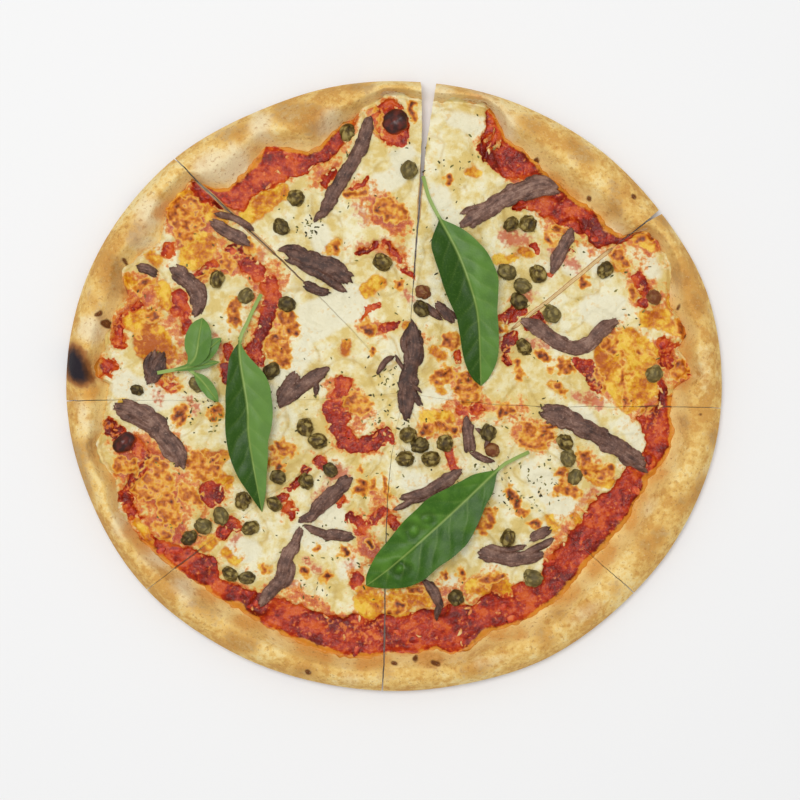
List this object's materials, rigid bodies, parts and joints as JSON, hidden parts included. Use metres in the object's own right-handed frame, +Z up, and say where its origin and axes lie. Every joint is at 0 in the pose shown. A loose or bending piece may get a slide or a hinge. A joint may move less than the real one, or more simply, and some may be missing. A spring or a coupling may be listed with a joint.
{
  "type": "anchovy pizza",
  "caption": "Round pizza cut into slices that keep its shape: raised browned rim, tomato, melted cheese, anchovy fillets, capers and basil leaves on top.",
  "frame": {"origin": "middle of the pizza's bounding box, on the plane of its flat underside", "axes": "+Z up from the underside, +Y to the back (the top of the picture), +X to the right"},
  "size_m": [0.3289, 0.3059, 0.0201],
  "materials": {
    "dough": "dry baked crust",
    "tomato": "moist",
    "cheese": "melted, slightly oily",
    "anchovy": "oily",
    "basil": "waxy leaf"
  },
  "bodies": {
    "root": {"dough_1": "dough", "dough_2": "dough", "dough_3": "dough", "dough_4": "dough", "dough_5": "dough", "dough_6": "dough", "dough_7": "dough", "dough_8": "dough", "tomato_1": "tomato", "tomato_2": "tomato", "tomato_3": "tomato", "tomato_4": "tomato", "tomato_5": "tomato", "tomato_6": "tomato", "tomato_7": "tomato", "tomato_8": "tomato", "cheese_1": "cheese", "cheese_2": "cheese", "cheese_3": "cheese", "cheese_4": "cheese", "cheese_5": "cheese", "cheese_6": "cheese", "cheese_7": "cheese", "cheese_8": "cheese", "anchovy_1": "anchovy", "anchovy_2": "anchovy", "anchovy_3": "anchovy", "anchovy_4": "anchovy", "anchovy_5": "anchovy", "anchovy_6": "anchovy", "anchovy_7": "anchovy", "anchovy_8": "anchovy", "anchovy_9": "anchovy", "anchovy_10": "anchovy", "anchovy_11": "anchovy", "anchovy_12": "anchovy", "anchovy_13": "anchovy", "anchovy_14": "anchovy", "anchovy_15": "anchovy", "anchovy_16": "anchovy", "anchovy_17": "anchovy", "anchovy_18": "anchovy", "anchovy_19": "anchovy", "anchovy_20": "anchovy", "anchovy_21": "anchovy", "anchovy_22": "anchovy", "anchovy_23": "anchovy", "anchovy_24": "anchovy", "basil_leaf_1": "basil", "basil_leaf_2": "basil", "basil_leaf_3": "basil", "basil_sprig": "basil"}
  },
  "joints": []
}
